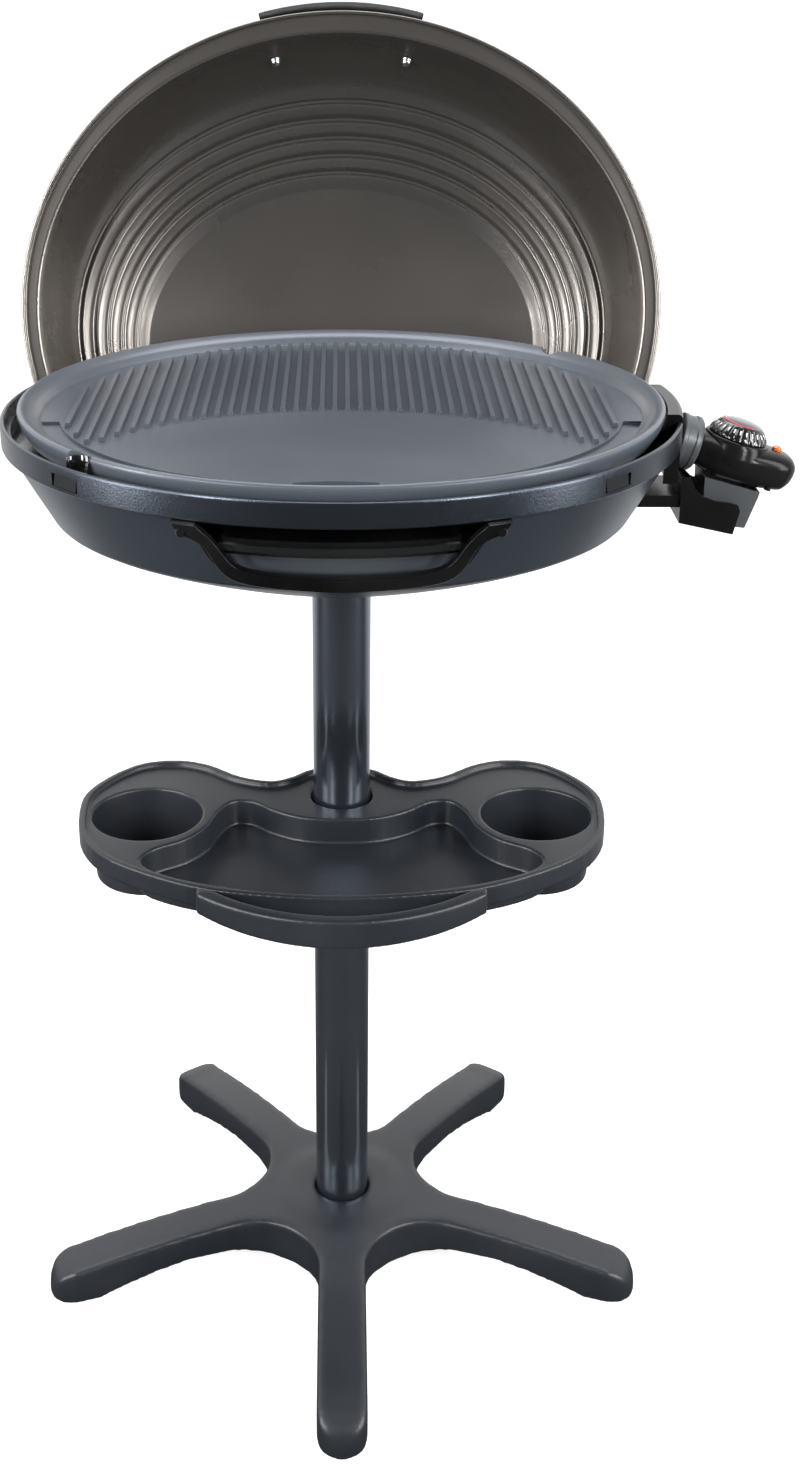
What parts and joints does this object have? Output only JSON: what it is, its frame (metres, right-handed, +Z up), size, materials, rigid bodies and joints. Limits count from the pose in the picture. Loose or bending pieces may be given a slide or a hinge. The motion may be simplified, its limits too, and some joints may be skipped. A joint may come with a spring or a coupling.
{
  "type": "pedestal electric grill with lid",
  "caption": "Pedestal electric grill: star base, pole with cup tray, oval bowl, ribbed lift-off plate, plug-in thermostat, slide-out drip tray and a lift-off lid parked upright behind the bowl.",
  "frame": {"origin": "on the floor under the pole's axis, in the plane of the foot pads", "axes": "+Z up along the pole, -Y to the front where the drip tray comes out, +X to the side that the thermostat plugs into"},
  "size_m": [0.6747, 0.6912, 1.1371],
  "materials": {
    "base_plastic": "fine-grained moulded plastic",
    "tube_paint": "semi-gloss powder coat",
    "rubber": "plain black rubber",
    "bowl_paint": "satin stove enamel, slightly pebbled",
    "rim_paint": "satin enamel",
    "plate_coat": "non-stick coat with fine metallic grain",
    "lid_paint": "warm grey satin metallic",
    "black_plastic": "moulded, lightly grained",
    "gloss_black": "smooth and shiny",
    "grey_metal": "light grey, satin",
    "steel": "zinc plated",
    "reflector": "bright rolled sheet",
    "contact_brass": "tinned brass",
    "lamp_orange": "clear orange lens",
    "switch_body": "heat-proof moulding"
  },
  "bodies": {
    "stand": {"base_star": "base_plastic", "foot_pads": "rubber", "base_screw": "steel", "tube_plug": "black_plastic", "lower_tube": "tube_paint", "tube_coupler": "black_plastic", "upper_tube": "tube_paint", "storage_tray": "base_plastic", "tray_rail": "base_plastic"},
    "bowl": {"bowl_shell": "bowl_paint", "rim_ring": "rim_paint", "snap_clips": "black_plastic", "pole_socket": "black_plastic", "socket_screws": "steel", "front_handle": "black_plastic", "rear_handle": "black_plastic", "handle_screws": "steel", "tray_cradle": "steel", "heat_reflector": "reflector", "plate_supports": "steel", "lid_hooks": "bowl_paint", "hook_screws": "steel", "socket_guard": "black_plastic", "guard_screws": "steel"},
    "drip": {"drip_tray": "gloss_black"},
    "plate": {"grill_plate": "plate_coat", "heating_element": "steel", "terminal_shroud": "black_plastic", "contact_pins": "steel", "shroud_screws": "steel"},
    "thermostat": {"housing_upper": "black_plastic", "housing_lower": "black_plastic", "plug_collar": "grey_metal", "probe_rod": "steel", "contact_sockets": "contact_brass", "thermal_switch": "switch_body", "lamp_lens": "lamp_orange", "lamp": "contact_brass", "cord_gland": "rubber", "heat_skirt": "grey_metal", "housing_screws": "steel"},
    "dial": {"dial": "gloss_black", "dial_spindle": "steel"},
    "lid": {"lid_shell": "lid_paint", "lid_handle": "black_plastic", "lid_washers": "steel", "lid_nuts": "steel"}
  },
  "joints": [
    {"name": "head_lift", "type": "slide", "parent": "stand", "child": "bowl", "axis": [0, 0, 1], "range_m": [0, 0.06]},
    {"name": "drip_tray_slide", "type": "slide", "parent": "bowl", "child": "drip", "axis": [0, -1, 0], "range_m": [0, 0.15]},
    {"name": "plate_lift", "type": "slide", "parent": "bowl", "child": "plate", "axis": [0, 0, 1], "range_m": [0, 0.04]},
    {"name": "thermostat_unplug", "type": "slide", "parent": "plate", "child": "thermostat", "axis": [0.9613, 0, -0.2756], "range_m": [0, 0.045]},
    {"name": "dial_turn", "type": "hinge", "parent": "thermostat", "child": "dial", "pos_m": [0.32043, 0, 0.80699], "axis": [-0.2756, 0, -0.9613], "range_deg": [0, 270]},
    {"name": "lid_lift", "type": "slide", "parent": "bowl", "child": "lid", "axis": [0, 0.2334, 0.9724], "range_m": [0, 0.08]}
  ]
}
